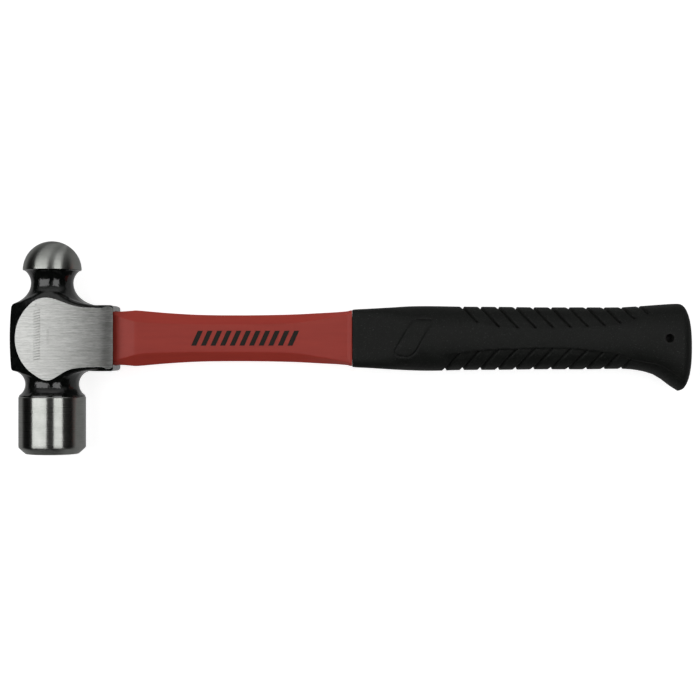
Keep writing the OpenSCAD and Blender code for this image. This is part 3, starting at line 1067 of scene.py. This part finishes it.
def build_grip(material):
    """The grip as one closed skin: out of the shank's bore, over the start, to the butt."""
    cy, cz = even_section(START_POWER)
    inner = np.array(rounded_section(*SHANK, 0.8))
    inner = spaced(np.concatenate([inner, inner[:1]]), GRIP_COLUMNS + 1)[:-1]
    start = np.argmin(np.abs(np.arctan2(inner[:, 1], inner[:, 0])))
    inner = np.roll(inner, -int(start), axis=0)
    rings = [at_x(x, inner) for x in (SHANK_END, 200, 160, GRIP_START + 0.02)]
    above, below, thick = SKIN[0, 1:]
    for grow, x in ((-0.5, 0.0), (-0.3, 0.05), (-0.12, 0.2), (-0.03, 0.5), (0.0, 0.85)):
        y = (above - below) / 2 + cy * ((above + below) / 2 + grow)
        rings.append(np.stack([np.full_like(y, GRIP_START + x + 0.02), HANDLE_Y + y,
                               cz * (thick + grow)], 1))
    rings += [grip_ring(u) for u in groove_rows()]
    for t in (0.3, 0.42, 0.54, 0.65, 0.75, 0.83, 0.89, 0.935, 0.965, 0.985, 0.996, 0.9996):
        rings.append(dome_ring(t))
    grip = skin("rubber_grip", rings, [material])
    carve(grip, hang_cutter(material))
    tidy_mesh(grip)
    shade(grip, 40)
    return finish_piece(grip, "black_rubber", "grip")


def hang_cutter(material):
    """The hanging hole, a little flared at both mouths."""
    surface = float(curve(SKIN, HANG_X, 3))
    rings = []
    for z, r in ((-surface - 1, HANG_R + 0.9), (-surface + 0.45, HANG_R + 0.06),
                 (-surface + 1.0, HANG_R), (surface - 1.0, HANG_R),
                 (surface - 0.45, HANG_R + 0.06), (surface + 1, HANG_R + 0.9)):
        a = np.linspace(0, 2 * math.pi, 48, endpoint=False)
        rings.append(np.stack([HANG_X + r * np.cos(a), HANDLE_Y + r * np.sin(a),
                               np.full_like(a, z)], 1))
    return skin("cutter", rings, [material])


# ---------------------------------------------------------------- stage, light, camera
REST_Z = -14.0           # the poll is what the hammer lies on
CAMERA = (125.1, 43.7, 659.4)
LENS = 80.7
WALL_R = 5000.0
WALL_SWEEP = 1200.0      # radius of the curve between floor and wall
FLOOR_OVERLAP = 50.0     # how far the floor runs under that curve
FLOOR_GLOW, WALL_GLOW = 0.84, 0.9
LIGHT_SHIFT = 70.0       # the softboxes are centred this far past the handle

# Name, tilt from +Z towards +X, distance, width, length and power of each softbox.
SOFTBOXES = (("left_softbox", -35, 900, 878, 700, 4.3),
             ("right_softbox", 30.3, 750, 392, 590, 1.6))

# Direction, the range of its cosine, and the range of strength that it gives.
PEEN_LIGHT = ((0.0, 1.0, 0.0), 0.25, 0.85, 0.0, 0.6)
UPPER_HALF = ((0.0, 0.0, 1.0), 0.08, 0.4, 0.0, 1.0)
LOWER_GREY = ((0.18, 0.0, -0.98), 0.06, 0.3, 0.006, 0.27)


def pale_floor():
    """A plain floor that glows a little. Glossy rays don't see it."""
    n = Nodes("pale_floor")
    cloud = n.noise((0.002, 0.002, 0.002), 2)
    n.feed("Base Color", n.colours(cloud, (0.3, (0.5, 0.5, 0.5)), (0.7, (0.52, 0.52, 0.52))))
    n.set(Roughness=0.9, Emission_Color=(1, 1, 1, 1), Emission_Strength=FLOOR_GLOW)
    size = WALL_R - WALL_SWEEP + FLOOR_OVERLAP
    verts = [(-size, -size, REST_Z), (size, -size, REST_Z), (size, size, REST_Z),
             (-size, size, REST_Z)]
    floor = mesh_object("floor", verts, [(0, 1, 2, 3)], [n.material])
    floor.visible_glossy = False
    return floor


def pale_wall():
    """A pale sweep all round the floor, which only the camera sees."""
    n = Nodes("pale_wall")
    cloud = n.noise((0.001, 0.001, 0.001), 2)
    n.feed("Base Color", n.colours(cloud, (0.3, (0.9, 0.9, 0.9)), (0.7, (0.93, 0.93, 0.93))))
    n.set(Roughness=0.9, Emission_Color=(1, 1, 1, 1), Emission_Strength=WALL_GLOW)
    a = np.linspace(0, 2 * math.pi, 64, endpoint=False)
    profile = [(WALL_R - WALL_SWEEP + WALL_SWEEP * math.sin(t),
                REST_Z - 1 + WALL_SWEEP - WALL_SWEEP * math.cos(t))
               for t in np.linspace(0, math.pi / 2, 12)]
    profile += [(WALL_R, WALL_R), (10, WALL_R + 800)]
    rings = [np.stack([r * np.cos(a), r * np.sin(a), np.full_like(a, z)], 1)
             for r, z in profile]
    wall = skin("wall", rings, [n.material])
    for ray in ("visible_glossy", "visible_diffuse", "visible_shadow", "visible_transmission"):
        setattr(wall, ray, False)
    return wall


def softbox(name, angle, distance, width, length, power):
    """A softbox over the head, tilted by angle from +Z towards +X, long side along Y."""
    data = bpy.data.lights.new(name, "AREA")
    data.shape = "RECTANGLE"
    data.size, data.size_y = width * MM, length * MM
    data.energy = power
    obj = bpy.data.objects.new(name, data)
    bpy.context.scene.collection.objects.link(obj)
    tilt = math.radians(angle)
    across, up = distance * math.sin(tilt), distance * math.cos(tilt)
    obj.location = (across * MM, (HANDLE_Y + LIGHT_SHIFT) * MM, up * MM)
    obj.rotation_euler = (0, tilt, 0)
    return obj


def world_light():
    """Dark surroundings: grey below and to the right, brighter where the peen points."""
    world = bpy.data.worlds.new("studio")
    bpy.context.scene.world = world
    world.use_nodes = True
    tree = world.node_tree
    tree.nodes.clear()
    out = tree.nodes.new("ShaderNodeOutputWorld")
    background = tree.nodes.new("ShaderNodeBackground")
    place = tree.nodes.new("ShaderNodeTexCoord")

    def toward(direction, a, b, low, high):
        dot = tree.nodes.new("ShaderNodeVectorMath")
        dot.operation = "DOT_PRODUCT"
        dot.inputs[1].default_value = direction
        tree.links.new(place.outputs["Generated"], dot.inputs[0])
        fade = tree.nodes.new("ShaderNodeMapRange")
        for key, number in (("From Min", a), ("From Max", b), ("To Min", low),
                            ("To Max", high)):
            fade.inputs[key].default_value = number
        tree.links.new(dot.outputs["Value"], fade.inputs["Value"])
        return fade.outputs["Result"]

    total = tree.nodes.new("ShaderNodeMath")
    total.operation = "MULTIPLY_ADD"
    for term, socket in zip((PEEN_LIGHT, UPPER_HALF, LOWER_GREY), total.inputs):
        tree.links.new(toward(*term), socket)
    tree.links.new(total.outputs[0], background.inputs["Strength"])
    tree.links.new(background.outputs[0], out.inputs["Surface"])
    background.inputs["Color"].default_value = (1.0, 1.0, 1.0, 1.0)


def stage_and_camera():
    pale_floor()
    pale_wall()
    world_light()
    for box in SOFTBOXES:
        softbox(*box)
    data = bpy.data.cameras.new("camera")
    data.lens = LENS
    data.sensor_width = 36
    data.clip_end = 100
    camera = bpy.data.objects.new("camera", data)
    camera.location = tuple(c * MM for c in CAMERA)
    bpy.context.scene.collection.objects.link(camera)
    bpy.context.scene.camera = camera
    bpy.context.scene.view_settings.view_transform = "Standard"


# ---------------------------------------------------------------- everything
build_head(steel_turned("steel_turned", 0.3), steel_turned("steel_ball", 0.38),
           steel_ground(), black_paint())
build_core(fibreglass())
build_resin(epoxy())
build_jacket(red_plastic())
build_print(black_ink())
build_grip(black_rubber())
stage_and_camera()

bpy.context.view_layer.update()
